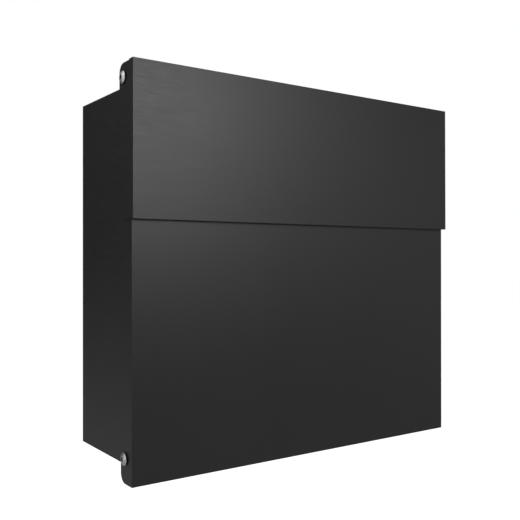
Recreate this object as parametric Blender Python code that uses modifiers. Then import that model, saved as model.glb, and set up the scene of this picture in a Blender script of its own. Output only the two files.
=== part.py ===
"""Wall-mounted mailbox of folded sheet steel, in metres, +Z up.

A plain box, open at the front, hangs on the wall by its back panel. A full-height door wraps the open
side and turns down on two screws near the floor. A mail flap wraps the top of the door and lifts on two
screws in the door's ears. It covers the mail slot and the cam lock, whose cam turns up behind the roof.
Each layer stands one sheet and one gap outside the last: wall, door cheek, flap cheek.

The origin is in the middle of the back panel's rear face. The front faces -Y.
"""

from math import hypot, pi, sin, sqrt, tan

import bmesh
import bpy
from mathutils import Vector

MM = 0.001

# Sheet metal
SHEET = 1.0 * MM
BEND_RADIUS = 0.8 * MM
GAP = 0.3 * MM  # between neighbouring pieces
FOLD = 12.0 * MM  # depth of the housing's stiffening folds

# Housing and door
BODY_HEIGHT = 325.0 * MM
DOOR_WIDTH = 385.0 * MM
DOOR_PROUD = 114.3 * MM  # front of the door to the wall
DOOR_BELOW = 15.9 * MM  # door's lower edge below the housing
CHEEK_DEPTH = 22.3 * MM
CHEEK_CORNER = 8.2 * MM
DOOR_TOP_FOLD = 10.0 * MM

# Flap
FLAP_PROUD = 5.05 * MM  # front of the flap to the front of the door
FLAP_HEIGHT = 134.9 * MM
FLAP_CHEEK_DEPTH = 22.0 * MM
FLAP_HEM = 4.05 * MM
EAR_DROP = 0.8 * MM  # ear's top below the flap's top
EAR_BELOW_PIVOT = 22.7 * MM
EAR_SLOPE = 8.0 * MM

# Hinge pivots
PIVOT_SETBACK = 13.7 * MM  # behind the front of the door
FLAP_PIVOT_ABOVE = 7.2 * MM  # above the housing
DOOR_EAR_RISE = 7.6 * MM  # door's top above the flap's pivot
FLAP_EAR_RISE = 13.4 * MM  # flap's top above its pivot
SWING_CLEARANCE = 0.4 * MM  # between the housing and the door as it turns
FLAP_CLEARANCE = 0.75 * MM  # between the door and the flap as it turns

# Shoulder screw, nylon bushing and round nut of each pivot
SHANK_RADIUS = 2.5 * MM
HEAD_RADIUS = 5.7 * MM
HEAD_RIM = 0.6 * MM
HEAD_DOME = 1.5 * MM
SOCKET_ACROSS = 3.0 * MM
SOCKET_DEPTH = 1.3 * MM
RUNNING_GAP = 0.2 * MM
BUSHING_WALL = 0.9 * MM
BUSHING_FLANGE_RADIUS = 5.0 * MM
BUSHING_FLANGE = 0.5 * MM
NUT_RADIUS = 4.2 * MM
NUT_LENGTH = 4.0 * MM
NUT_ABOVE_FLOOR = 0.4 * MM
SHANK_BEYOND_NUT = 0.8 * MM

# Openings
SLOT_WIDTH = 335.0 * MM
SLOT_HEIGHT = 35.0 * MM
SLOT_BELOW_LOCK = 9.5 * MM
FIXING_RADIUS = 4.0 * MM
FIXING_SPACING_X = 300.0 * MM
FIXING_SPACING_Z = 240.0 * MM
DRAIN_RADIUS = 3.0 * MM
DRAIN_INSET = 32.0 * MM

# Cam lock
LOCK_HEAD_RADIUS = 9.5 * MM
LOCK_HEAD = 2.6 * MM
LOCK_HEAD_RIM = 0.8 * MM
BARREL_RADIUS = 8.0 * MM
BARREL_LENGTH = 12.7 * MM  # front of the door to the end of the barrel
PLUG_RADIUS = 5.2 * MM
DRIVE_WIDTH = 5.4 * MM
DRIVE_BEYOND_CAM = 0.1 * MM
KEYWAY_WIDTH = 1.6 * MM
KEYWAY_HEIGHT = 7.0 * MM
KEYWAY_DEPTH = 9.0 * MM
LOCK_NUT_RADIUS = 11.0 * MM  # to its corners
LOCK_NUT_HEIGHT = 3.0 * MM
LOCK_NUT_BELOW_LIP = 2.5 * MM
CAM_SHEET = 2.0 * MM
CAM_WIDTH = 11.0 * MM
CAM_HEEL = 7.0 * MM
CAM_CATCH = 6.5 * MM  # overlap with the roof's lip
CAM_BEHIND_LIP = 1.0 * MM
CAM_BEND_CLEARANCE = 1.8 * MM
CAM_SCREW_RADIUS = 1.6 * MM
CAM_SCREW_LENGTH = 6.0 * MM
CAM_SCREW_HEAD_RADIUS = 4.2 * MM
CAM_SCREW_HEAD = 2.0 * MM

# Rubber bumpers
FLAP_BUMPER_RADIUS = 5.0 * MM
FLAP_BUMPER_INSET = 14.5 * MM
FLAP_BUMPER_RISE = 9.8 * MM
DOOR_BUMPER_RADIUS = 4.0 * MM
DOOR_BUMPER_DROP = 32.5 * MM

# Planes across the width
door_side = DOOR_WIDTH / 2
wall_side = door_side - SHEET - GAP
panel_side = wall_side - SHEET - GAP
fold_side = wall_side - FOLD
lip_side = fold_side - GAP
flap_side = door_side + GAP + SHEET

# Heights
body_top = BODY_HEIGHT / 2
body_bottom = -body_top
tray_top = body_top - SHEET - GAP
lip_bottom = body_top - FOLD
door_pivot_rise = SHEET + NUT_ABOVE_FLOOR + NUT_RADIUS
door_pivot_z = body_bottom + door_pivot_rise
flap_pivot_z = body_top + FLAP_PIVOT_ABOVE
door_top = flap_pivot_z + DOOR_EAR_RISE
door_bottom = body_bottom - DOOR_BELOW
flap_top = flap_pivot_z + FLAP_EAR_RISE
flap_bottom = flap_top - FLAP_HEIGHT
lock_z = lip_bottom - LOCK_NUT_BELOW_LIP - LOCK_NUT_RADIUS
slot_top = lock_z - LOCK_HEAD_RADIUS - SLOT_BELOW_LOCK
slot_bottom = slot_top - SLOT_HEIGHT

# Depths
door_front = -DOOR_PROUD
door_inside = door_front + SHEET
pivot_y = door_front + PIVOT_SETBACK
cheek_rear = door_front + CHEEK_DEPTH
flap_front = door_front - FLAP_PROUD
flap_inside = flap_front + SHEET
tray_front = -FOLD
# The housing's lower front edge stays inside the circle that the door's sheet sweeps round its pivot.
sweep_radius = PIVOT_SETBACK - SHEET - SWING_CLEARANCE
body_front = pivot_y - sqrt(sweep_radius**2 - door_pivot_rise**2)
# The door's lower fold comes up under the housing at a quarter turn, which is how far the door opens.
door_fold_rear = pivot_y - door_pivot_rise - SWING_CLEARANCE
# The flap's upper fold stays outside the circle of the door's upper front edge.
ear_circle = hypot(PIVOT_SETBACK, DOOR_EAR_RISE) + FLAP_CLEARANCE
flap_fold_rear = pivot_y - sqrt(max(ear_circle**2 - (FLAP_EAR_RISE - SHEET) ** 2, 0.0))
# The floor's side folds start behind the nuts of the door's pivots.
floor_fold_front = pivot_y + NUT_RADIUS + SHEET

# Pivot hardware, outwards from the turning sheet's outer face
bushing_bore = SHANK_RADIUS + RUNNING_GAP
bushing_radius = bushing_bore + BUSHING_WALL
bushing_hole = bushing_radius + RUNNING_GAP
flange_top = RUNNING_GAP + BUSHING_FLANGE
head_seat = flange_top + RUNNING_GAP
head_top = head_seat + HEAD_RIM + HEAD_DOME
nut_outer = -2 * (SHEET + GAP)
nut_inner = nut_outer - NUT_LENGTH
shank_end = nut_inner - SHANK_BEYOND_NUT

# Cam lock, forwards from the door's front face
lock_face = GAP + LOCK_HEAD
barrel_end = -BARREL_LENGTH
cam_front = barrel_end - GAP
drive_end = cam_front - CAM_SHEET - DRIVE_BEYOND_CAM
cam_screw_seat = drive_end - GAP

BEND_STEPS = 3
ARC_STEPS = 6
ROUND_SIDES = 32
CUT_BEYOND = 10.0 * MM  # how far a cutter runs past what it cuts
OVERLAP = 1.0 * MM  # how far joined shapes run into each other

CENTRE = (0.0, 0.0, 0.0)
UNTURNED = (0.0, 0.0, 0.0)
SIDEWAYS = (0.0, pi / 2, 0.0)  # turns +Z to +X
FORWARD = (pi / 2, 0.0, 0.0)  # turns +Z to -Y


def clear_scene():
    """Removes every object of the scene."""
    for old in list(bpy.data.objects):
        bpy.data.objects.remove(old, do_unlink=True)


def new_collection(name):
    made = bpy.data.collections.new(name)
    bpy.context.scene.collection.children.link(made)
    return made


def new_axis(name, where, parent=None):
    """An empty on a joint's axis, which carries the pieces that turn there."""
    axis = bpy.data.objects.new(name, None)
    axis.location = where
    if parent:
        axis.parent = parent
        axis.matrix_parent_inverse = parent.matrix_world.inverted()
    parts.objects.link(axis)
    bpy.context.view_layer.update()
    return axis


def new_material(name, colour, roughness, metallic=0.0):
    material = bpy.data.materials.new(name)
    material.use_nodes = True
    shader = material.node_tree.nodes["Principled BSDF"]
    shader.inputs["Base Color"].default_value = (*colour, 1.0)
    shader.inputs["Roughness"].default_value = roughness
    shader.inputs["Metallic"].default_value = metallic
    return material


# Shapes: each function returns a mesh


def mesh_of(shape):
    mesh = bpy.data.meshes.new("shape")
    shape.to_mesh(mesh)
    shape.free()
    return mesh


def near(value, target):
    return abs(value - target) < 0.01 * MM


def soften(shape, on_bend):
    """Rounds the edges whose two ends both lie on the bend."""
    edges = [edge for edge in shape.edges if all(on_bend(corner.co) for corner in edge.verts)]
    bmesh.ops.bevel(
        shape, geom=edges, offset=BEND_RADIUS, segments=BEND_STEPS, profile=0.5, affect="EDGES"
    )


def block(corner, opposite, on_bend=None):
    """A box between two opposite corners, with the chosen edges rounded."""
    low = [min(pair) for pair in zip(corner, opposite)]
    high = [max(pair) for pair in zip(corner, opposite)]
    shape = bmesh.new()
    bmesh.ops.create_cube(shape, size=1.0)
    for vertex in shape.verts:
        vertex.co = [high[axis] if vertex.co[axis] > 0 else low[axis] for axis in range(3)]
    if on_bend:
        soften(shape, on_bend)
    return mesh_of(shape)


def rod(radius, length, sides=ROUND_SIDES):
    """A cylinder along Z, centred on its own origin."""
    shape = bmesh.new()
    bmesh.ops.create_cone(
        shape, cap_ends=True, segments=sides, radius1=radius, radius2=radius, depth=length
    )
    return mesh_of(shape)


def rounded(corners):
    """The points of an outline given as corners (y, z, radius)."""
    points = []
    for index, (y, z, radius) in enumerate(corners):
        corner = Vector((y, z))
        if not radius:
            points.append(corner)
            continue
        back = (Vector(corners[index - 1][:2]) - corner).normalized()
        ahead = (Vector(corners[(index + 1) % len(corners)][:2]) - corner).normalized()
        half = back.angle(ahead) / 2
        centre = corner + (back + ahead).normalized() * radius / sin(half)
        start = (corner + back * radius / tan(half) - centre).normalized()
        end = (corner + ahead * radius / tan(half) - centre).normalized()
        for step in range(ARC_STEPS + 1):
            points.append(centre + start.slerp(end, step / ARC_STEPS) * radius)
    return points


def prism(corners, width, on_bend=None):
    """An outline in Y and Z, filled and extruded to a width along X, with the chosen edges rounded."""
    curve = bpy.data.curves.new("outline", "CURVE")
    curve.dimensions = "2D"
    curve.fill_mode = "BOTH"
    curve.extrude = width / 2
    points = rounded(corners)
    line = curve.splines.new("POLY")
    line.points.add(len(points) - 1)
    for place, point in zip(line.points, points):
        place.co = (*point, 0.0, 1.0)
    line.use_cyclic_u = True
    outline = bpy.data.objects.new("outline", curve)
    cutters.objects.link(outline)
    graph = bpy.context.evaluated_depsgraph_get()
    filled = bpy.data.meshes.new_from_object(outline.evaluated_get(graph))
    bpy.data.objects.remove(outline)
    shape = bmesh.new()
    shape.from_mesh(filled)
    bmesh.ops.remove_doubles(shape, verts=shape.verts, dist=0.001 * MM)
    bmesh.ops.dissolve_limit(shape, angle_limit=0.001, verts=shape.verts, edges=shape.edges)
    for vertex in shape.verts:
        vertex.co = vertex.co.zxy
    if on_bend:
        soften(shape, on_bend)
    return mesh_of(shape)


# Objects


def piece(name, mesh, material, axis, where=CENTRE, turn=UNTURNED):
    """A named piece, placed in the world and carried by its joint's axis."""
    made = bpy.data.objects.new(name, mesh)
    mesh.name = name
    mesh.materials.append(material)
    made.location = where
    made.rotation_euler = turn
    made.parent = axis
    made.matrix_parent_inverse = axis.matrix_world.inverted()
    parts.objects.link(made)
    return made


def combine(part, operation, mesh, where, turn):
    """Cuts a shape from a piece, or joins one to it, with a helper that moves with the piece."""
    helper = bpy.data.objects.new(f"{part.name}_helper_{len(part.modifiers)}", mesh)
    helper.location = where
    helper.rotation_euler = turn
    helper.parent = part.parent
    helper.matrix_parent_inverse = part.parent.matrix_world.inverted()
    helper.hide_render = True
    helper.display_type = "WIRE"
    cutters.objects.link(helper)
    boolean = part.modifiers.new(helper.name, "BOOLEAN")
    boolean.operation = operation
    boolean.object = helper


def cut(part, mesh, where=CENTRE, turn=UNTURNED):
    combine(part, "DIFFERENCE", mesh, where, turn)


def join(part, mesh, where=CENTRE, turn=UNTURNED):
    combine(part, "UNION", mesh, where, turn)


def turned(name, profile, material, axis, where, turn, ring=False):
    """A profile of (radius, height) spun round +Z; a ring's profile closes on itself."""
    shape = bmesh.new()
    corners = [shape.verts.new((radius, 0.0, height)) for radius, height in profile]
    for first, second in zip(corners, corners[1:]):
        shape.edges.new((first, second))
    if ring:
        shape.edges.new((corners[-1], corners[0]))
    made = piece(name, mesh_of(shape), material, axis, where, turn)
    spin = made.modifiers.new("spin", "SCREW")
    spin.steps = ROUND_SIDES
    spin.render_steps = ROUND_SIDES
    spin.use_merge_vertices = True
    spin.merge_threshold = 0.001 * MM
    spin.use_smooth_shade = True
    return made


# Housing


def make_back_panel():
    """The back sheet, folded forward all round, with four fixing holes."""
    tray = block(
        (-panel_side, tray_front, -tray_top),
        (panel_side, 0.0, tray_top),
        lambda point: near(point.y, 0.0),
    )
    panel = piece("back_panel", tray, black_coat, housing)
    side = panel_side - SHEET
    top = tray_top - SHEET
    cut(panel, block((-side, tray_front - CUT_BEYOND, -top), (side, -SHEET, top)))
    for x in (-FIXING_SPACING_X / 2, FIXING_SPACING_X / 2):
        for z in (-FIXING_SPACING_Z / 2, FIXING_SPACING_Z / 2):
            cut(panel, rod(FIXING_RADIUS, 2 * CUT_BEYOND), (x, 0.0, z), FORWARD)


def make_wall(hand, side):
    """A side wall with a fold along its front edge, which ends short of the roof and the floor."""
    bar = block(
        (side * fold_side, body_front, body_bottom),
        (side * wall_side, 0.0, body_top),
        lambda point: near(point.y, body_front) and near(abs(point.x), wall_side),
    )
    wall = piece(f"{hand}_wall", bar, black_coat, housing)
    inside = side * (wall_side - SHEET)
    past_fold = side * (fold_side - CUT_BEYOND)
    beyond = body_top + CUT_BEYOND
    cut(wall, block((past_fold, body_front + SHEET, -beyond), (inside, CUT_BEYOND, beyond)))
    for end in (-1, 1):
        notch = (past_fold, body_front - CUT_BEYOND, end * tray_top)
        cut(wall, block(notch, (inside, CUT_BEYOND, end * beyond)))
    hole = rod(SHANK_RADIUS + GAP, 2 * CUT_BEYOND)
    cut(wall, hole, (side * wall_side, pivot_y, door_pivot_z), SIDEWAYS)


def make_cover(name, end, side_fold_front):
    """The roof (end 1) or the floor (end -1): a sheet with a front lip and a fold along each side."""
    slab = block(
        (-panel_side, body_front, end * lip_bottom),
        (panel_side, 0.0, end * body_top),
        lambda point: near(point.y, body_front) and near(abs(point.z), body_top),
    )
    cover = piece(name, slab, black_coat, housing)
    inner = end * (body_top - SHEET)
    past_lip = end * (lip_bottom - CUT_BEYOND)
    side = panel_side - SHEET
    beyond = panel_side + CUT_BEYOND
    cut(cover, block((-side, body_front + SHEET, past_lip), (side, CUT_BEYOND, inner)))
    cut(cover, block((-beyond, tray_front - GAP, past_lip), (beyond, CUT_BEYOND, inner)))
    for hand in (-1, 1):
        notch = (hand * lip_side, body_front - CUT_BEYOND, past_lip)
        cut(cover, block(notch, (hand * beyond, side_fold_front, inner)))
    return cover


def make_housing():
    make_back_panel()
    make_cover("roof_panel", 1, body_front + SHEET + GAP)
    floor = make_cover("floor_panel", -1, floor_fold_front)
    for x in (DRAIN_INSET - panel_side, panel_side - DRAIN_INSET):
        for y in (body_front + DRAIN_INSET, tray_front - DRAIN_INSET):
            cut(floor, rod(DRAIN_RADIUS, 2 * CUT_BEYOND), (x, y, body_bottom))


# Door and flap


def make_door_panel():
    """The full-height front, with cheeks that end in ears, and a fold along its top and bottom."""
    outline = [
        (door_front, door_bottom, 0.0),
        (cheek_rear, door_bottom, CHEEK_CORNER),
        (cheek_rear, door_top, CHEEK_CORNER),
        (door_front, door_top, 0.0),
    ]
    solid = prism(outline, DOOR_WIDTH, lambda point: near(point.y, door_front))
    door = piece("door_panel", solid, black_coat, door_hinge)
    side = door_side - SHEET
    rear = cheek_rear + CUT_BEYOND
    under = door_bottom - CUT_BEYOND
    over = door_top + CUT_BEYOND
    top_fold_rear = door_front + DOOR_TOP_FOLD
    cut(door, block((-side, door_inside, door_bottom + SHEET), (side, rear, door_top - SHEET)))
    cut(door, block((-side, door_fold_rear, under), (side, rear, body_bottom)))
    cut(door, block((-side, top_fold_rear, body_top), (side, rear, over)))
    slot_front = door_front - CUT_BEYOND
    slot_rear = door_front + CUT_BEYOND
    cut(door, block((-SLOT_WIDTH / 2, slot_front, slot_bottom), (SLOT_WIDTH / 2, slot_rear, slot_top)))
    cut(door, rod(BARREL_RADIUS + GAP, 2 * CUT_BEYOND), (0.0, door_front, lock_z), FORWARD)
    for x in (-door_side, door_side):
        cut(door, rod(bushing_hole, 2 * CUT_BEYOND), (x, pivot_y, door_pivot_z), SIDEWAYS)
        cut(door, rod(SHANK_RADIUS + GAP, 2 * CUT_BEYOND), (x, pivot_y, flap_pivot_z), SIDEWAYS)


def make_flap_panel():
    """The flap over the mail slot, with ears round the upper pivots, a top fold and a lower hem."""
    cheek_end = flap_front + FLAP_CHEEK_DEPTH
    ear_bottom = flap_pivot_z - EAR_BELOW_PIVOT
    ear_top = flap_top - EAR_DROP
    outline = [
        (flap_front, flap_bottom, 0.0),
        (cheek_end, flap_bottom, SHEET),
        (cheek_end, ear_bottom - EAR_SLOPE, EAR_SLOPE),
        (cheek_rear, ear_bottom, EAR_SLOPE),
        (cheek_rear, ear_top, CHEEK_CORNER),
        (flap_fold_rear, ear_top, 0.0),
        (flap_fold_rear, flap_top, 0.0),
        (flap_front, flap_top, 0.0),
    ]
    solid = prism(outline, 2 * flap_side, lambda point: near(point.y, flap_front))
    flap = piece("flap_panel", solid, black_coat, flap_hinge)
    side = flap_side - SHEET
    rear = cheek_rear + CUT_BEYOND
    under = flap_bottom - CUT_BEYOND
    over = flap_top + CUT_BEYOND
    cut(flap, block((-side, flap_inside, flap_bottom + SHEET), (side, rear, flap_top - SHEET)))
    cut(flap, block((-side, flap_front + FLAP_HEM, under), (side, rear, slot_bottom)))
    cut(flap, block((-side, flap_fold_rear, flap_pivot_z), (side, rear, over)))
    for x in (-flap_side, flap_side):
        cut(flap, rod(bushing_hole, 2 * CUT_BEYOND), (x, pivot_y, flap_pivot_z), SIDEWAYS)


# Pivots


def dome_profile():
    """A cap of a sphere, from the middle of the head to its rim."""
    sphere = (HEAD_RADIUS**2 + HEAD_DOME**2) / (2 * HEAD_DOME)
    points = []
    for step in range(ARC_STEPS + 1):
        radius = HEAD_RADIUS * step / ARC_STEPS
        points.append((radius, head_top - sphere + sqrt(sphere**2 - radius**2)))
    return points


def make_pivot(name, hand, side, sheet_side, height, fixed, turning):
    """A screw and its nut on the fixed side of a hinge, and a bushing in the sheet that turns."""
    where = (side * sheet_side, pivot_y, height)
    outwards = (0.0, side * pi / 2, 0.0)
    shank = [
        (HEAD_RADIUS, head_seat),
        (SHANK_RADIUS, head_seat),
        (SHANK_RADIUS, shank_end),
        (0.0, shank_end),
    ]
    profile = dome_profile() + shank
    screw = turned(f"{name}_screw_{hand}", profile, stainless, fixed, where, outwards)
    socket_place = (side * (sheet_side + head_top), pivot_y, height)
    cut(screw, rod(SOCKET_ACROSS / sqrt(3), 2 * SOCKET_DEPTH, sides=6), socket_place, outwards)
    bushing = [
        (BUSHING_FLANGE_RADIUS, flange_top),
        (BUSHING_FLANGE_RADIUS, RUNNING_GAP),
        (bushing_radius, RUNNING_GAP),
        (bushing_radius, -SHEET),
        (bushing_bore, -SHEET),
        (bushing_bore, flange_top),
    ]
    turned(f"{name}_bushing_{hand}", bushing, nylon, turning, where, outwards, ring=True)
    nut = [
        (NUT_RADIUS, nut_outer),
        (NUT_RADIUS, nut_inner),
        (bushing_bore, nut_inner),
        (bushing_bore, nut_outer),
    ]
    turned(f"{name}_nut_{hand}", nut, zinc, fixed, where, outwards, ring=True)


# Cam lock


def make_lock():
    """The barrel and its nut in the door, and the plug, cam and cam screw that turn in it."""
    where = (0.0, door_front, lock_z)
    bore = PLUG_RADIUS + 2 * RUNNING_GAP
    barrel = [
        (LOCK_HEAD_RADIUS - LOCK_HEAD_RIM, lock_face),
        (LOCK_HEAD_RADIUS, lock_face - LOCK_HEAD_RIM),
        (LOCK_HEAD_RADIUS, GAP),
        (BARREL_RADIUS, GAP),
        (BARREL_RADIUS, barrel_end),
        (bore, barrel_end),
        (bore, lock_face),
    ]
    turned("lock_barrel", barrel, chrome, door_hinge, where, FORWARD, ring=True)
    nut_place = (0.0, door_inside + GAP + LOCK_NUT_HEIGHT / 2, lock_z)
    hexagon = rod(LOCK_NUT_RADIUS, LOCK_NUT_HEIGHT, sides=6)
    nut = piece("lock_nut", hexagon, zinc, door_hinge, nut_place, FORWARD)
    cut(nut, rod(BARREL_RADIUS + GAP, 2 * CUT_BEYOND), nut_place, FORWARD)
    make_lock_plug(where)
    make_lock_cam()
    screw = [
        (0.0, drive_end + CAM_SCREW_LENGTH),
        (CAM_SCREW_RADIUS, drive_end + CAM_SCREW_LENGTH),
        (CAM_SCREW_RADIUS, cam_screw_seat),
        (CAM_SCREW_HEAD_RADIUS, cam_screw_seat),
        (CAM_SCREW_HEAD_RADIUS, cam_screw_seat - CAM_SCREW_HEAD),
        (0.0, cam_screw_seat - CAM_SCREW_HEAD),
    ]
    turned("lock_cam_screw", screw, zinc, lock_turn, where, FORWARD)


def make_lock_plug(where):
    """The plug, with a keyway in front, and a square drive with a screw hole behind."""
    plug_front = lock_face - RUNNING_GAP
    profile = [
        (0.0, plug_front),
        (PLUG_RADIUS, plug_front),
        (PLUG_RADIUS, barrel_end),
        (0.0, barrel_end),
    ]
    plug = turned("lock_plug", profile, chrome, lock_turn, where, FORWARD)
    half = DRIVE_WIDTH / 2
    drive_front = (-half, door_front - barrel_end - OVERLAP, lock_z - half)
    join(plug, block(drive_front, (half, door_front - drive_end, lock_z + half)))
    half = KEYWAY_HEIGHT / 2
    keyway_front = (-KEYWAY_WIDTH / 2, door_front - lock_face - CUT_BEYOND, lock_z - half)
    keyway_rear = (KEYWAY_WIDTH / 2, door_front - lock_face + KEYWAY_DEPTH, lock_z + half)
    cut(plug, block(keyway_front, keyway_rear))
    hole_length = 2 * (CAM_SCREW_LENGTH + GAP)
    cut(plug, rod(CAM_SCREW_RADIUS + GAP, hole_length), (0.0, door_front - drive_end, lock_z), FORWARD)


def make_lock_cam():
    """The cam at rest, pointing to +X: it steps forward so that it turns up close behind the lip."""
    seat = door_front - cam_front
    tip_front = body_front + SHEET + CAM_BEHIND_LIP
    reach = lip_bottom + CAM_CATCH - lock_z
    bend_start = BARREL_RADIUS + CAM_BEND_CLEARANCE
    bend_end = reach - CAM_CATCH - GAP
    step = seat - tip_front
    rise = bend_end - bend_start
    shift = CAM_SHEET * (hypot(step, rise) - rise) / step
    outline = [
        (seat, -CAM_HEEL, 0.0),
        (seat + CAM_SHEET, -CAM_HEEL, 0.0),
        (seat + CAM_SHEET, bend_start + shift, 0.0),
        (tip_front + CAM_SHEET, bend_end + shift, 0.0),
        (tip_front + CAM_SHEET, reach, 0.0),
        (tip_front, reach, 0.0),
        (tip_front, bend_end, 0.0),
        (seat, bend_start, 0.0),
    ]
    cam = piece("lock_cam", prism(outline, CAM_WIDTH), zinc, lock_turn, (0.0, 0.0, lock_z), SIDEWAYS)
    half = DRIVE_WIDTH / 2 + GAP
    hole_front = (-half, seat - OVERLAP, lock_z - half)
    cut(cam, block(hole_front, (half, seat + CAM_SHEET + OVERLAP, lock_z + half)))


def make_bumpers(hand, side):
    """A pad on the door for the flap's lower corner, and one on the housing for the door."""
    flap_pad = rod(FLAP_BUMPER_RADIUS, door_front - flap_inside - 2 * GAP)
    x = side * (door_side - FLAP_BUMPER_INSET)
    where = (x, (door_front + flap_inside) / 2, flap_bottom + FLAP_BUMPER_RISE)
    piece(f"flap_bumper_{hand}", flap_pad, rubber, door_hinge, where, FORWARD)
    door_pad = rod(DOOR_BUMPER_RADIUS, body_front - door_inside - 2 * GAP)
    x = side * (wall_side - FOLD / 2)
    where = (x, (body_front + door_inside) / 2, body_top - DOOR_BUMPER_DROP)
    piece(f"door_bumper_{hand}", door_pad, rubber, housing, where, FORWARD)


clear_scene()
parts = new_collection("wall_mailbox")
cutters = new_collection("wall_mailbox_cutters")

black_coat = new_material("black_powder_coat", (0.022, 0.022, 0.024), 0.42)
stainless = new_material("stainless_steel", (0.62, 0.61, 0.59), 0.28, 1.0)
zinc = new_material("zinc_plate", (0.55, 0.56, 0.58), 0.38, 1.0)
chrome = new_material("chrome_plate", (0.78, 0.78, 0.78), 0.12, 1.0)
nylon = new_material("black_nylon", (0.03, 0.03, 0.03), 0.55)
rubber = new_material("black_rubber", (0.018, 0.018, 0.018), 0.8)

housing = new_axis("housing", CENTRE)
door_hinge = new_axis("door_hinge", (0.0, pivot_y, door_pivot_z), housing)
flap_hinge = new_axis("flap_hinge", (0.0, pivot_y, flap_pivot_z), door_hinge)
lock_turn = new_axis("lock_turn", (0.0, door_front, lock_z), door_hinge)

make_housing()
make_door_panel()
make_flap_panel()
make_lock()
for hand, side in (("left", -1), ("right", 1)):
    make_wall(hand, side)
    make_pivot("door", hand, side, door_side, door_pivot_z, housing, door_hinge)
    make_pivot("flap", hand, side, flap_side, flap_pivot_z, door_hinge, flap_hinge)
    make_bumpers(hand, side)
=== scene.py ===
# %% [markdown]
# # A wall mailbox in folded steel
# The mailbox is bent from 1 mm sheet and powder coated black. A box hangs on the wall, a full-height
# door wraps its front, and a flap covers the top of the door. Four bright screws are the hinge pins.
#
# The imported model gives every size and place, in metres. It stays as it is, and this script dresses it:
# sheets get their fine edges, and the turned pieces become surfaces worked out from formulas.

import bmesh
import bpy
import numpy as np
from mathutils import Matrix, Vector


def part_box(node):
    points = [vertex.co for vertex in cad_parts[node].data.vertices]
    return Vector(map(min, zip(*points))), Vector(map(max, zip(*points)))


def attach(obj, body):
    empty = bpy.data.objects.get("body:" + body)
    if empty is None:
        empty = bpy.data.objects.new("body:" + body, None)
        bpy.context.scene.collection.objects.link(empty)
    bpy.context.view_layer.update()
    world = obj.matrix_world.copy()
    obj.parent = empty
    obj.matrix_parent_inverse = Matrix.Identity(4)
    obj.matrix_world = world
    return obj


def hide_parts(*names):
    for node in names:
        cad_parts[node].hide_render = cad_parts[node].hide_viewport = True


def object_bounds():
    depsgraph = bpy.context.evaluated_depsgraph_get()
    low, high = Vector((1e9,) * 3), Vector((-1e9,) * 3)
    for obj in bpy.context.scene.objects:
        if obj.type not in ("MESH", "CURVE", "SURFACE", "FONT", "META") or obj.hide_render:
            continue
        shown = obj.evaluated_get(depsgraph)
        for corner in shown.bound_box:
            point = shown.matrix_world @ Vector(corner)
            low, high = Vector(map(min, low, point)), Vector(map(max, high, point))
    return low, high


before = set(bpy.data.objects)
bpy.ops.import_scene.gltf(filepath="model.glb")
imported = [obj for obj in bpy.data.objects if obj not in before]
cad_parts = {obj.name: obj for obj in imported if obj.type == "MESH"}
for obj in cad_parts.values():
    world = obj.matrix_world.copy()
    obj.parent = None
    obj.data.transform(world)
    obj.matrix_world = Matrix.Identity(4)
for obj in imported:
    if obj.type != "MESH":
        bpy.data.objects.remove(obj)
cad_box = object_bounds()
MM = 0.001

# %% [markdown]
# ## Shader maths as Python
# A node tree is a formula drawn as boxes. Writing it as `0.35 + 0.14 * streaks` is easier to read, so
# a Field wraps one socket and each operator adds its Math node. Every other node comes from one method
# that sets the node's own settings first, and then its sockets.


# %% Node trees and fields
class Nodes:
    """A node tree that adds nodes by type, settings and sockets."""

    def __init__(self, owner):
        owner.use_nodes = True
        self.owner = owner
        self.tree = owner.node_tree

    def add(self, kind, settings=None, sockets=None):
        node = self.tree.nodes.new(kind)
        for name, value in (settings or {}).items():
            setattr(node, name, value)
        for name, value in (sockets or {}).items():
            self.feed(node.inputs[name], value)
        return node

    def feed(self, socket, value):
        if isinstance(value, Field):
            self.tree.links.new(value.socket, socket)
        else:
            socket.default_value = value

    def field(self, kind, settings=None, sockets=None, output=0):
        return Field(self, self.add(kind, settings, sockets).outputs[output])


class Field:
    """One socket's value over a surface, with Python's operators."""

    def __init__(self, nodes, socket):
        self.nodes = nodes
        self.socket = socket

    def maths(self, operation, first, second):
        return self.nodes.field("ShaderNodeMath", {"operation": operation}, {0: first, 1: second})

    def __add__(self, other):
        return self.maths("ADD", self, other)

    def __mul__(self, other):
        return self.maths("MULTIPLY", self, other)

    __radd__ = __add__
    __rmul__ = __mul__

    def ramp(self, low, high):
        """A smooth step from 0 at low to 1 at high."""
        settings = {"interpolation_type": "SMOOTHSTEP"}
        sockets = {"Value": self, "From Min": low, "From Max": high}
        return self.nodes.field("ShaderNodeMapRange", settings, sockets)


def blend_colours(nodes, factor, dark, light):
    """The colour that runs from dark to light as the factor runs from 0 to 1."""
    dark, light = (tone if isinstance(tone, Field) else (*tone, 1.0) for tone in (dark, light))
    sockets = {"Factor": factor, "A": dark, "B": light}
    node = nodes.add("ShaderNodeMix", {"data_type": "RGBA"})
    for socket in node.inputs:
        if socket.enabled and socket.name in sockets:
            nodes.feed(socket, sockets[socket.name])
    return Field(nodes, next(socket for socket in node.outputs if socket.enabled))


print("shader helpers ready")

# %% [markdown]
# ## Patterns
# Real finishes vary at several scales at once. Noise on Object coordinates is the same all over a
# piece and doesn't slide when it moves. Stretching the coordinates makes streaks: a noise that changes
# quickly up and down but slowly along looks drawn out level.

# %% Noise patterns and a finish
SPREAD = (0.3, 0.7)  # noise lies mostly between these, so a ramp over them is nearly the whole range


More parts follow.
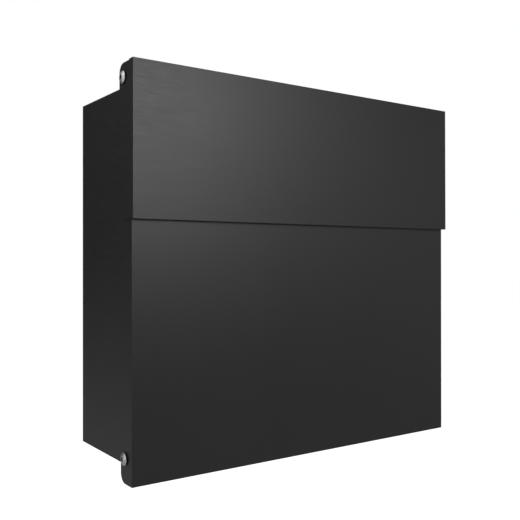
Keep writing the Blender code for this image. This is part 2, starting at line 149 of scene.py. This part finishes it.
def grain(nodes, per_metre, detail=2.0, source="Object"):
    """Noise whose cells are 1 / per_metre long along each axis of the chosen coordinates."""
    place = nodes.field("ShaderNodeTexCoord", output=source)
    scaled = nodes.field("ShaderNodeMapping", None, {"Vector": place, "Scale": per_metre})
    return nodes.field("ShaderNodeTexNoise", None, {"Vector": scaled, "Scale": 1.0, "Detail": detail})


def finish_with(nodes, colour, roughness, metallic, height, depth):
    """Feeds one Principled shader: colour, roughness, metal or not, and a relief of that depth."""
    shader = nodes.tree.nodes["Principled BSDF"]
    nodes.feed(shader.inputs["Base Color"], colour)
    nodes.feed(shader.inputs["Roughness"], roughness)
    shader.inputs["Metallic"].default_value = metallic
    bump = nodes.field("ShaderNodeBump", None, {"Height": height, "Distance": depth, "Strength": 1.0})
    nodes.feed(shader.inputs["Normal"], bump)


print("patterns ready")

# %% [markdown]
# ## Powder coat
# Powder coat is baked plastic: black, satin, and never quite flat. It shows three scales, a slow
# unevenness from handling, orange peel about a millimetre across, and a fine grain. The sheet under it
# was brushed level before coating, which leaves faint level streaks. The coat is a dielectric, so it
# isn't metallic, and its black is a very dark grey with a trace of blue.

# %% Powder coat
STREAK = (70.0, 70.0, 1100.0)  # streaks 14 mm long and under 1 mm high
PEEL = (900.0, 900.0, 900.0)
FINE = (3200.0, 3200.0, 3200.0)
SLOW = (9.0, 9.0, 9.0)
COAT_DARK = (0.0065, 0.0068, 0.0075)
COAT_LIGHT = (0.0105, 0.0108, 0.0116)
COAT_SATIN = 0.35
COAT_RELIEF = 0.03 * MM


def make_powder_coat():
    """Colour, gloss and relief are weighted sums of the same four noises, so that they agree."""
    nodes = Nodes(bpy.data.materials.new("powder_coat_black"))
    streaks = grain(nodes, STREAK, 3.0)
    peel = grain(nodes, PEEL, 1.0)
    fine = grain(nodes, FINE, 1.0)
    slow = grain(nodes, SLOW, 1.0)
    shade = streaks * 0.5 + fine * 0.25 + slow * 0.25
    colour = blend_colours(nodes, shade.ramp(*SPREAD), COAT_DARK, COAT_LIGHT)
    roughness = COAT_SATIN + 0.14 * streaks + 0.05 * slow
    relief = streaks * 0.55 + peel * 0.3 + fine * 0.15
    finish_with(nodes, colour, roughness, 0.0, relief, COAT_RELIEF)
    return nodes.owner


powder_coat = make_powder_coat()
print("finish:", powder_coat.name)

# %% [markdown]
# ## Bright metals
# A turned screw carries rings from the lathe, so its pattern follows the profile. The second number of
# its UV map counts metres along the profile and ends at zero, and noise that depends on it alone gives
# rings. The profile ends inside the socket or keyway, and its last few millimetres are painted dark:
# partly the oxide and dirt that collect there, and mostly painted shade for the recess. Zinc plate is
# dull and cloudy, and lock chrome is nearly a mirror.

# %% Metals
RINGS = (0.6, 900.0, 1.0)
CLOUD = (400.0, 400.0, 400.0)
# the colour of the recess: a little dirt, and mostly painted shade where little light reaches
RECESS_DIRT_AND_SHADE = (0.03, 0.03, 0.03)
DIRT_AND_SHADE_STARTS = 1.12  # the painted shade and dirt fade in between these shares of the recess's depth
DIRT_AND_SHADE_FULL = 0.98
RING_RELIEF = 0.01 * MM
STRIP_RELIEF = 0.02 * MM


def make_turned_metal(name, dark, light, smooth, rough, recess):
    """A metal with lathe rings and a cloudy tone, its recess painted dark: some dirt, mostly painted
    shade.
    """
    nodes = Nodes(bpy.data.materials.new(name))
    rings = grain(nodes, RINGS, 3.0, "UV")
    cloud = grain(nodes, CLOUD, 2.0)
    clean = blend_colours(nodes, (rings * 0.6 + cloud * 0.4).ramp(*SPREAD), dark, light)
    place = nodes.field("ShaderNodeTexCoord", output="UV")
    along = nodes.field("ShaderNodeSeparateXYZ", None, {"Vector": place}, "Y")
    # painted shade: the profile's last millimetres, inside the socket or keyway, turn dark as if shadowed,
    # with some dirt
    dirt_and_shade = along.ramp(-DIRT_AND_SHADE_STARTS * recess, -DIRT_AND_SHADE_FULL * recess)
    colour = blend_colours(nodes, dirt_and_shade, clean, RECESS_DIRT_AND_SHADE)
    roughness = smooth + (rough - smooth) * rings + 0.3 * dirt_and_shade
    finish_with(nodes, colour, roughness, 1.0, rings, RING_RELIEF)
    return nodes.owner


def make_stamped_metal(name, dark, light):
    """Plated strip, cloudy all over."""
    nodes = Nodes(bpy.data.materials.new(name))
    cloud = grain(nodes, CLOUD, 3.0)
    colour = blend_colours(nodes, cloud.ramp(*SPREAD), dark, light)
    finish_with(nodes, colour, 0.34 + 0.15 * cloud, 1.0, cloud, STRIP_RELIEF)
    return nodes.owner


STEEL = ((0.4, 0.395, 0.385), (0.56, 0.555, 0.54))
ZINC = ((0.42, 0.43, 0.46), (0.58, 0.59, 0.6))
CHROME = ((0.7, 0.7, 0.71), (0.8, 0.8, 0.8))
stainless = make_turned_metal("stainless_turned", *STEEL, smooth=0.34, rough=0.5, recess=2.6 * MM)
zinc = make_turned_metal("zinc_plated", *ZINC, smooth=0.32, rough=0.5, recess=2.7 * MM)
chrome = make_turned_metal("lock_chrome", *CHROME, smooth=0.06, rough=0.14, recess=12.0 * MM)
stamped = make_stamped_metal("zinc_strip", *ZINC)
print("metals:", stainless.name, zinc.name, chrome.name, stamped.name)

# %% [markdown]
# ## Nylon and rubber
# Moulded nylon is smooth and a little glossy, and rubber is matt and grainy. One function makes both.

# %% Nylon and rubber
PLASTIC_RELIEF = 0.02 * MM


def make_dark_plastic(name, tone, roughness, cells):
    """A dark moulded plastic with a fine even grain, from four fifths to five quarters of its tone."""
    nodes = Nodes(bpy.data.materials.new(name))
    texture = grain(nodes, (cells, cells, cells), 2.0)
    dark = (0.8 * tone, 0.8 * tone, 0.8 * tone)
    light = (1.25 * tone, 1.25 * tone, 1.25 * tone)
    colour = blend_colours(nodes, texture.ramp(*SPREAD), dark, light)
    finish_with(nodes, colour, roughness + 0.1 * texture, 0.0, texture, PLASTIC_RELIEF)
    return nodes.owner


nylon = make_dark_plastic("nylon_black", tone=0.02, roughness=0.5, cells=1500.0)
rubber = make_dark_plastic("rubber_black", tone=0.014, roughness=0.75, cells=2500.0)
print("plastics:", nylon.name, rubber.name)

# %% [markdown]
# ## Formed sheets
# A coated sheet has no knife edges: the coat draws back and rounds each cut edge to about 0.2 mm, and
# that thin rounding is what catches the light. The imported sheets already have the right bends, holes
# and ears. A copy of each is merged into one skin, its flat faces are joined, and a Bevel modifier
# rounds the sharp edges. Weighted Normal then lets the largest face at each corner set the shading, so
# flat sheet stays flat right up to its bends.

# %% Sheets with rounded edges
COAT_EDGE = 0.2 * MM
STAMPED_EDGE = 0.25 * MM
SHARP = np.radians(40.0)
SAME_PLANE = np.radians(0.5)
SAME_POINT = 0.002 * MM


def formed_copy(node, body, material, edge):
    """The node's own shape as one skin, with its sharp edges rounded."""
    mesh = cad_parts[node].data.copy()
    mesh.materials.clear()
    mesh.materials.append(material)
    skin = bmesh.new()
    skin.from_mesh(mesh)
    bmesh.ops.remove_doubles(skin, verts=skin.verts, dist=SAME_POINT)
    bmesh.ops.dissolve_limit(skin, angle_limit=SAME_PLANE, verts=skin.verts, edges=skin.edges)
    for face in skin.faces:
        face.smooth = True
    skin.to_mesh(mesh)
    skin.free()
    made = bpy.data.objects.new("formed_" + node, mesh)
    bpy.context.scene.collection.objects.link(made)
    rounding = made.modifiers.new("edges", "BEVEL")
    rounding.width = edge
    rounding.segments = 3
    rounding.limit_method = "ANGLE"
    rounding.angle_limit = SHARP
    flat = made.modifiers.new("flat_faces", "WEIGHTED_NORMAL")
    flat.mode = "FACE_AREA"
    flat.weight = 100
    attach(made, body)
    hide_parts(node)
    return made


SHEETS = {
    "back_panel": "housing",
    "left_wall": "housing",
    "right_wall": "housing",
    "roof_panel": "housing",
    "floor_panel": "housing",
    "door_panel": "door",
    "flap_panel": "flap",
}
for node, body in SHEETS.items():
    sheet = formed_copy(node, body, powder_coat, COAT_EDGE)
    print(sheet.name, len(sheet.data.polygons), "faces")

# %% The cam
cam = formed_copy("lock_cam", "lock_core", stamped, STAMPED_EDGE)
print(cam.name, "stamped from 2 mm strip")

# %% [markdown]
# ## Turned pieces as surfaces
# A turned piece is a profile spun round an axis: point = centre + height * axis + radius * (cos a, sin a)
# across it. Making the radius depend on the angle too gives what a lathe can't: a hexagon, a thread, a
# knurl. All rows and columns are computed as arrays. The columns close on themselves, and rows of zero
# radius merge into a pole.

# %% A closed surface from a grid
SIDES = 96
GRID_MERGE = 0.001 * MM
CREASE = np.radians(35.0)
angles = np.arange(SIDES) * 2 * np.pi / SIDES


def skin_from_grid(name, points, material, ring):
    """Joins points[row, column] into quads; columns go round, and a ring's rows do too."""
    rows, columns = points.shape[:2]
    row = np.arange(rows if ring else rows - 1)[:, None]
    column = np.arange(columns)[None, :]
    corners = [(row, column), (row, column + 1), (row + 1, column + 1), (row + 1, column)]
    quads = np.stack([(r % rows) * columns + c % columns for r, c in corners], axis=-1)
    step = np.linalg.norm(np.diff(points[:, 0], axis=0), axis=-1)
    along = np.concatenate([[0.0], np.cumsum(step)])
    along = np.append(along, along[-1]) - along[-1]
    uv = np.stack([np.stack([(c + 0.0 * r) / columns, along[r] + 0.0 * c], -1) for r, c in corners], -2)
    mesh = bpy.data.meshes.new(name)
    mesh.from_pydata(points.reshape(-1, 3), [], quads.reshape(-1, 4).tolist())
    mesh.uv_layers.new(name="along").uv.foreach_set("vector", uv.reshape(-1).astype(np.float32))
    mesh.materials.append(material)
    skin = bmesh.new()
    skin.from_mesh(mesh)
    bmesh.ops.remove_doubles(skin, verts=skin.verts, dist=GRID_MERGE)
    bmesh.ops.recalc_face_normals(skin, faces=skin.faces)
    for face in skin.faces:
        face.smooth = True
    skin.to_mesh(mesh)
    skin.free()
    mesh.set_sharp_from_angle(angle=CREASE)
    made = bpy.data.objects.new(name, mesh)
    bpy.context.scene.collection.objects.link(made)
    return made


def turn(name, radius, height, centre, axis, node, body, material, ring=False):
    """Spins radius[row, column] and height[row] round a level axis, with angle 0 straight up."""
    axis = Vector(axis)
    across = Vector((0.0, 0.0, 1.0))
    other = axis.cross(across)
    radius = np.broadcast_to(np.asarray(radius), (len(height), SIDES))[..., None]
    circle = np.cos(angles)[:, None] * np.array(across) + np.sin(angles)[:, None] * np.array(other)
    points = np.array(centre) + np.asarray(height)[:, None, None] * np.array(axis) + radius * circle
    made = skin_from_grid(name, points, material, ring)
    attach(made, body)
    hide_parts(node)
    print(name, len(made.data.polygons), "faces")


# %% Profiles made of lines and arcs
def line(start, end, count=2):
    """Points (radius, height) on a straight line."""
    return np.linspace(start, end, count)


def arc(centre, radius, first, last, count=6):
    """Points on an arc, with angles in degrees from +radius towards +height."""
    turned = np.radians(np.linspace(first, last, count))
    return np.stack([centre[0] + radius * np.cos(turned), centre[1] + radius * np.sin(turned)], -1)


def profile_of(*stretches):
    """Lines and arcs joined end to end."""
    return np.concatenate(stretches)


def carve(before, worked, after, depth):
    """Joins three stretches and cuts the depth, by row and angle, out of the middle one."""
    rows = profile_of(before, worked, after)
    radius = np.repeat(rows[:, :1], SIDES, axis=1)
    radius[len(before) : len(before) + len(worked)] -= depth
    return radius, rows[:, 1]


def stations(*rows):
    """Splits (radius at every angle, height) pairs into the two arrays that turn() takes."""
    radius = np.stack([np.broadcast_to(row[0], SIDES) for row in rows])
    return radius, np.array([row[1] for row in rows])


def polygon(corners, across_flats):
    """The radius of a regular polygon at each angle: its flat's distance over the cosine to the flat."""
    sector = 2 * np.pi / corners
    return across_flats / 2 / np.cos((angles + sector / 2) % sector - sector / 2)


def place_of(node):
    """The middle of a node's box."""
    low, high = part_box(node)
    return (low + high) / 2


print("a hexagon 1 mm across its flats is", round(2 * polygon(6, 1.0).max(), 3), "mm across its corners")

# %% [markdown]
# ## Pivot screws
# A button-head screw has a domed head with a hexagon socket, a plain shank where it carries the hinge,
# and a thread where the nut is. The socket and its chamfer blend a circle into the hexagon. The thread
# is a triangle wave: each turn round the axis moves it on by one pitch.

# %% Pivot screws
HEAD_RADIUS = 5.7 * MM
HEAD_HEIGHT = 2.0 * MM
RIM = 0.3 * MM  # the round under the head's edge
RIM_TOP = 0.45 * MM  # where the dome starts
SHANK = 2.5 * MM
TIP = 0.5 * MM
THREAD_END = 5.5 * MM
PITCH = 0.8 * MM
THREAD_CUT = 0.42 * MM
SOCKET = 3.0 * MM
SOCKET_MOUTH = 0.62  # the dome ends at this share of the socket's width
SOCKET_CHAMFER = 0.25 * MM
SOCKET_DEPTH = 1.25 * MM
SOCKET_POINT = 0.35 * MM


def thread_depth(height, pitch, depth):
    """How far the thread is cut in at each height and angle: a triangle wave along the helix."""
    phase = (height[:, None] / pitch + angles[None, :] / (2 * np.pi)) % 1.0
    return depth * (1.0 - np.abs(2.0 * phase - 1.0))


def make_screw(node, side, body):
    """Rows run from the shank's tip, up the shank, over the head and down into the socket.

    The head is a cap of a sphere whose radius is (edge squared + rise squared) / (2 * rise).
    """
    low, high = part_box(node)
    outer = high.x if side > 0 else low.x
    length = high.x - low.x
    seat = length - HEAD_HEIGHT
    tip = line((0.0, 0.0), (SHANK - TIP, 0.0))
    threaded = line((SHANK, TIP), (SHANK, THREAD_END), 70)
    plain = line((SHANK, THREAD_END + 0.1 * MM), (SHANK, seat), 4)
    under = line((SHANK, seat), (HEAD_RADIUS - RIM, seat), 4)
    rim = arc((HEAD_RADIUS - RIM, seat + RIM), RIM, -90, 10, 5)
    rise = HEAD_HEIGHT - RIM_TOP
    sphere = ((HEAD_RADIUS - 0.02 * MM) ** 2 + rise**2) / (2 * rise)
    reach = np.linspace(HEAD_RADIUS - 0.06 * MM, SOCKET * SOCKET_MOUTH, 14)
    bulge = np.sqrt(sphere**2 - reach**2)
    dome = np.stack([reach, length + bulge - bulge[-1]], -1)
    cut = thread_depth(threaded[:, 1], PITCH, THREAD_CUT)
    radius, height = carve(tip, threaded, profile_of(plain, under, rim, dome), cut)
    hexagon = polygon(6, SOCKET)
    floor = length - SOCKET_DEPTH
    walls, wall_heights = stations(
        (hexagon, length - SOCKET_CHAMFER),
        (hexagon, floor + 0.1 * MM),
        (0.9 * hexagon, floor),
        (0.0, floor - SOCKET_POINT),
    )
    radius = np.concatenate([radius, walls])
    height = np.concatenate([height, wall_heights]) - length
    middle = place_of(node)
    centre = (outer, middle.y, middle.z)
    name = node + "_turned"
    turn(name, radius, height, centre, (side, 0, 0), node, body, stainless)


for hand, side in (("left", -1), ("right", 1)):
    make_screw(f"door_screw_{hand}", side, "housing")
    make_screw(f"flap_screw_{hand}", side, "door")

# %% [markdown]
# ## Bushings and nuts
# A flanged nylon bushing is one small L spun round, with moulded edges. The nut is round so that it
# clears the floor, and knurled so that fingers can hold it: its radius dips 32 times round.

# %% Bushings
BUSHING_BORE = 2.7 * MM
BUSHING_SLEEVE = 3.6 * MM
FLANGE = 0.5 * MM
SOFT = 0.12 * MM


def make_bushing(node, side, body):
    """The L runs from the bore out along the sleeve's end, up the sleeve, and round the flange."""
    low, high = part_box(node)
    length = high.x - low.x
    flange_radius = (high.z - low.z) / 2
    rows = profile_of(
        line((BUSHING_BORE, 0.0), (BUSHING_SLEEVE - SOFT, 0.0), 3),
        arc((BUSHING_SLEEVE - SOFT, SOFT), SOFT, -90, 0, 4),
        line((BUSHING_SLEEVE, length - FLANGE), (flange_radius - SOFT, length - FLANGE), 3),
        arc((flange_radius - SOFT, length - FLANGE + SOFT), SOFT, -90, 0, 4),
        arc((flange_radius - SOFT, length - SOFT), SOFT, 0, 90, 4),
        line((BUSHING_BORE + SOFT, length), (BUSHING_BORE, length - SOFT)),
    )
    middle = place_of(node)
    centre = (low.x if side > 0 else high.x, middle.y, middle.z)
    name = node + "_moulded"
    radius, height = rows[:, :1], rows[:, 1]
    turn(name, radius, height, centre, (side, 0, 0), node, body, nylon, ring=True)


# %% Knurled nuts
KNURLS = 32
KNURL_DEPTH = 0.12 * MM
NUT_CHAMFER = 0.4 * MM
NUT_LEAD = 0.2 * MM  # the small chamfer where the thread starts


def make_nut(node, side, body):
    """A collar whose radius is cut by a raised cosine, KNURLS times round."""
    low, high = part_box(node)
    length = high.x - low.x
    outside = (high.z - low.z) / 2
    knurled = line((outside, NUT_CHAMFER), (outside, length - NUT_CHAMFER), 6)
    before = line((BUSHING_BORE + NUT_LEAD, 0.0), (outside - NUT_CHAMFER, 0.0), 3)
    after = profile_of(
        line((outside - NUT_CHAMFER, length), (BUSHING_BORE + NUT_LEAD, length), 3),
        line((BUSHING_BORE, length - NUT_LEAD), (BUSHING_BORE, NUT_LEAD), 6),
    )
    cut = KNURL_DEPTH * (0.5 - 0.5 * np.cos(KNURLS * angles))
    radius, height = carve(before, knurled, after, cut)
    middle = place_of(node)
    centre = (low.x if side > 0 else high.x, middle.y, middle.z)
    name = node + "_knurled"
    turn(name, radius, height, centre, (side, 0, 0), node, body, zinc, ring=True)


for hand, side in (("left", -1), ("right", 1)):
    make_bushing(f"door_bushing_{hand}", side, "door")
    make_bushing(f"flap_bushing_{hand}", side, "flap")
    make_nut(f"door_nut_{hand}", side, "housing")
    make_nut(f"flap_nut_{hand}", side, "door")

# %% [markdown]
# ## Cam lock
# The lock is a threaded barrel with a polished face, a plug with a keyway, and a hexagon nut. Heights
# run forwards along -Y. The keyway is the polar form of a rectangle: the nearer of its two pairs of
# sides at each angle. The nut is a hexagon whose corners are cut back by a cone at each end.

# %% Lock barrel
FRONT = (0.0, -1.0, 0.0)
TUBE = 8.0 * MM
TUBE_BORE = 5.6 * MM
TUBE_PITCH = 1.0 * MM
TUBE_CUT = 0.5 * MM
UNDERCUT = 0.4 * MM  # the plain neck between the thread and the face
FACE_THICKNESS = 2.6 * MM
FACE_BACK_ROUND = 0.2 * MM
FACE_ROUND = 0.8 * MM
PLUG_STEP = 0.35 * MM  # the bevel that leads in to the plug


def make_barrel():
    """Rows run forwards over the thread, the neck and the face, and back down the bore."""
    low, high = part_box("lock_barrel")
    length = high.y - low.y
    face = (high.z - low.z) / 2
    head = length - FACE_THICKNESS
    before = line((TUBE_BORE, 0.0), (TUBE - 0.7 * MM, 0.0), 3)
    threaded = line((TUBE, 0.5 * MM), (TUBE, head - 0.9 * MM), 120)
    after = profile_of(
        line((TUBE - UNDERCUT, head - 0.6 * MM), (TUBE - UNDERCUT, head)),
        line((TUBE, head), (face - FACE_BACK_ROUND, head), 3),
        arc((face - FACE_BACK_ROUND, head + FACE_BACK_ROUND), FACE_BACK_ROUND, -90, 0, 4),
        arc((face - FACE_ROUND, length - FACE_ROUND), FACE_ROUND, 0, 90, 7),
        line((TUBE_BORE + 1.1 * MM, length), (TUBE_BORE + 0.5 * MM, length - PLUG_STEP), 3),
        line((TUBE_BORE, length - PLUG_STEP), (TUBE_BORE, 0.5 * MM), 8),
    )
    cut = thread_depth(threaded[:, 1], TUBE_PITCH, TUBE_CUT)
    radius, height = carve(before, threaded, after, cut)
    centre = (0.0, high.y, place_of("lock_barrel").z)
    name = "lock_barrel_threaded"
    turn(name, radius, height, centre, FRONT, "lock_barrel", "door", chrome, ring=True)


make_barrel()

# %% Lock plug
DRIVE = 5.4 * MM
DRIVE_LENGTH = 2.4 * MM
SCREW_HOLE = 1.9 * MM
SCREW_HOLE_DEPTH = 5.0 * MM
KEYWAY_HEIGHT = 7.0 * MM
KEYWAY_WIDTH = 1.6 * MM
KEYWAY_DEPTH = 8.8 * MM
DRIVE_BEVEL = 0.2 * MM
KEYWAY_BEVEL = 0.25 * MM


def rectangle(height, width):
    """The radius at each angle of a rectangle round the axis, with its height straight up."""
    across = np.maximum(np.abs(np.sin(angles)), 1e-6)
    along = np.maximum(np.abs(np.cos(angles)), 1e-6)
    return np.minimum(height / 2 / along, width / 2 / across)


def make_plug():
    """Rows run from the screw hole, over the square drive and the round plug, into the keyway."""
    low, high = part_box("lock_plug")
    length = high.y - low.y
    plug = (high.x - low.x) / 2
    square = rectangle(DRIVE, DRIVE)
    keyway = rectangle(KEYWAY_HEIGHT, KEYWAY_WIDTH)
    radius, height = stations(
        (0.0, SCREW_HOLE_DEPTH),
        (SCREW_HOLE, SCREW_HOLE_DEPTH),
        (SCREW_HOLE, 0.0),
        (square - DRIVE_BEVEL, 0.0),
        (square, DRIVE_BEVEL),
        (square, DRIVE_LENGTH),
        (plug - DRIVE_BEVEL, DRIVE_LENGTH),
        (plug, DRIVE_LENGTH + DRIVE_BEVEL),
        (plug, length - KEYWAY_BEVEL),
        (plug - KEYWAY_BEVEL, length),
        (keyway + KEYWAY_BEVEL, length),
        (keyway, length - KEYWAY_BEVEL),
        (keyway, length - KEYWAY_DEPTH),
        (0.0, length - KEYWAY_DEPTH),
    )
    centre = (0.0, high.y, place_of("lock_plug").z)
    name = "lock_plug_keyed"
    turn(name, radius, height, centre, FRONT, "lock_plug", "lock_core", chrome)


make_plug()

# %% Lock nut and cam screw
NUT_BORE = 8.3 * MM
NUT_BEVEL = 0.3 * MM
NUT_HEIGHTS = (0.0, 0.0, 0.35, 0.7, 1.5, 2.3, 2.65, 3.0, 3.0, 2.7, 0.3)
CONE_SLOPE = 1.7
CAM_SCREW_SHANK = 1.6 * MM
CAM_SCREW_HEAD = 2.0 * MM


def make_lock_nut():
    """The smaller of a hexagon and a cone that opens from each end; the last rows are the bore."""
    low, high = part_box("lock_nut")
    length = high.y - low.y
    corner = max(high.x - low.x, high.z - low.z) / 2
    flats = 2 * corner * np.cos(np.pi / 6)
    height = np.array(NUT_HEIGHTS) * MM
    cone = np.minimum(height, length - height)[:, None] * CONE_SLOPE + flats / 2 - 0.1 * MM
    radius = np.minimum(polygon(6, flats)[None, :], cone)
    radius[[0, 8]] = NUT_BORE + NUT_BEVEL
    radius[[9, 10]] = NUT_BORE
    centre = (0.0, high.y, place_of("lock_nut").z)
    name = "lock_nut_hexagon"
    turn(name, radius, height, centre, FRONT, "lock_nut", "door", zinc, ring=True)


def make_cam_screw():
    """A pan head with a cross recess: four arms where the radius swells."""
    low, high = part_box("lock_cam_screw")
    length = high.y - low.y
    head = (high.z - low.z) / 2
    cross = 0.45 * MM + 1.7 * MM * np.abs(np.cos(2 * angles)) ** 8
    radius, height = stations(
        (0.0, length),
        (1.2 * MM, length),
        (CAM_SCREW_SHANK, length - 0.4 * MM),
        (CAM_SCREW_SHANK, CAM_SCREW_HEAD),
        (head - 0.15 * MM, CAM_SCREW_HEAD),
        (head, CAM_SCREW_HEAD - 0.15 * MM),
        (head, 0.9 * MM),
        (0.93 * head, 0.4 * MM),
        (0.75 * head, 0.1 * MM),
        (np.maximum(cross, 2.25 * MM), 0.0),
        (cross, 0.1 * MM),
        (0.6 * cross, 1.3 * MM),
        (0.0, 1.5 * MM),
    )
    centre = (0.0, high.y, place_of("lock_cam_screw").z)
    name = "lock_cam_screw_cross"
    turn(name, radius, height, centre, FRONT, "lock_cam_screw", "lock_core", zinc)


make_lock_nut()
make_cam_screw()

# %% [markdown]
# ## Rubber bumpers
# A stick-on bumper is a puck with a generous round at its outer edge, so its profile is a short wall
# and a quarter circle.

# %% Bumpers
PUCK_ROUND = 0.8 * MM
PUCK_FOOT = 0.1 * MM


def make_bumper(node, body):
    """A wall and a quarter circle; a thin puck's round takes three fifths of its thickness."""
    low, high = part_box(node)
    length = high.y - low.y
    side = (high.z - low.z) / 2
    soft = min(PUCK_ROUND, 0.6 * length)
    rows = profile_of(
        line((0.0, 0.0), (side - PUCK_FOOT, 0.0), 5),
        line((side, PUCK_FOOT), (side, length - soft), 4),
        arc((side - soft, length - soft), soft, 10, 90, 8),
        line((side - 1.2 * soft, length), (0.0, length), 5),
    )
    middle = place_of(node)
    centre = (middle.x, high.y, middle.z)
    name = node + "_puck"
    turn(name, rows[:, :1], rows[:, 1], centre, FRONT, node, body, rubber)


for hand in ("left", "right"):
    make_bumper(f"flap_bumper_{hand}", "door")
    make_bumper(f"door_bumper_{hand}", "housing")

# %% [markdown]
# ## Studio
# The mailbox stands alone on white. A pale floor and a pale world look white to the camera, but light
# the object only softly: a Light Path node tells the two apart. Three soft lights in front make the
# sheen that fades across the flap and down the door, and the rest lift the sides and the screws.

# %% Camera
VIEW_FROM = Vector((-0.4520, -0.6737, 0.0134))
VIEW_HEADING = np.radians(-34.95)
FRONT_MIDDLE = Vector((0.0, -0.115, 0.0))
camera = bpy.data.objects.new("camera", bpy.data.cameras.new("camera"))
camera.data.lens = 50.0
camera.data.sensor_width = 36.0
camera.location = VIEW_FROM
camera.rotation_euler = (np.pi / 2, 0.0, VIEW_HEADING)
bpy.context.scene.collection.objects.link(camera)
bpy.context.scene.camera = camera
bpy.context.scene.view_settings.view_transform = "Standard"
print("camera", round((VIEW_FROM - FRONT_MIDDLE).length, 3), "m from the middle of the front")

# %% World
WORLD_GREY = 0.03


def make_world():
    """White to the camera, and soft grey to everything else."""
    world = bpy.data.worlds.new("studio")
    bpy.context.scene.world = world
    nodes = Nodes(world)
    seen = nodes.field("ShaderNodeLightPath", output="Is Camera Ray")
    strength = WORLD_GREY + (1.0 - WORLD_GREY) * seen
    background = nodes.tree.nodes["Background"]
    background.inputs["Color"].default_value = (1.0, 1.0, 1.0, 1.0)
    nodes.feed(background.inputs["Strength"], strength)


make_world()
print("world: white when seen,", WORLD_GREY, "as light")

# %% Floor
FLOOR_DROP = 0.25
FLOOR_REACH = 6.0
FLOOR_GLOW = 0.127


def make_floor():
    """A wide pale floor under the mailbox, which glows white to the camera and dimly to the rest."""
    height = cad_box[0][2] - FLOOR_DROP
    sides = ((-1, -1), (1, -1), (1, 1), (-1, 1))
    corners = [(FLOOR_REACH * x, FLOOR_REACH * y, height) for x, y in sides]
    mesh = bpy.data.meshes.new("floor")
    mesh.from_pydata(corners, [], [(0, 1, 2, 3)])
    floor = bpy.data.objects.new("floor", mesh)
    bpy.context.scene.collection.objects.link(floor)
    nodes = Nodes(bpy.data.materials.new("pale_floor"))
    shader = nodes.tree.nodes["Principled BSDF"]
    shader.inputs["Base Color"].default_value = (0.8, 0.8, 0.8, 1.0)
    shader.inputs["Roughness"].default_value = 0.9
    shader.inputs["Emission Strength"].default_value = 1.0
    seen = nodes.field("ShaderNodeLightPath", output="Is Camera Ray")
    glow = blend_colours(nodes, seen, (FLOOR_GLOW, FLOOR_GLOW, FLOOR_GLOW), (1.0, 1.0, 1.0))
    nodes.feed(shader.inputs["Emission Color"], glow)
    mesh.materials.append(nodes.owner)


make_floor()
print("floor:", FLOOR_DROP, "m under the mailbox")

# %% Lights
BODY_MIDDLE = (0.0, -0.06, 0.05)
FLAP_MIDDLE = (-0.1, -0.115, 0.12)
RIGHT_MIDDLE = (0.1, -0.1, 0.0)
SIDE_MIDDLE = (-0.19, -0.06, 0.0)
LIGHTS = (
    ("sheen_wide", (0.7, -1.3, 0.5), BODY_MIDDLE, 0.8, 1.06),
    ("sheen_high", (0.1, -0.95, 0.5), FLAP_MIDDLE, 0.35, 0.43),
    ("sheen_low", (0.15, -0.95, 0.32), FLAP_MIDDLE, 0.4, 3.75),
    ("right_fill", (1.5, -1.2, 0.1), RIGHT_MIDDLE, 1.0, 1.55),
    ("left_fill", (-1.6, 0.3, 0.1), SIDE_MIDDLE, 1.0, 4.6),
    ("left_high", (-1.2, 0.4, 0.9), SIDE_MIDDLE, 0.8, 4.7),
    ("screw_glint", (-0.8, -0.6, 1.1), SIDE_MIDDLE, 0.8, 1.2),
)


def add_light(name, place, target, size, watts):
    """A square soft light that faces its target."""
    lamp = bpy.data.lights.new(name, "AREA")
    lamp.size = size
    lamp.energy = watts
    light = bpy.data.objects.new(name, lamp)
    light.location = place
    light.rotation_euler = (Vector(target) - Vector(place)).to_track_quat("-Z", "Y").to_euler()
    light.visible_camera = False
    bpy.context.scene.collection.objects.link(light)


for row in LIGHTS:
    add_light(*row)
print("lights:", len(LIGHTS))
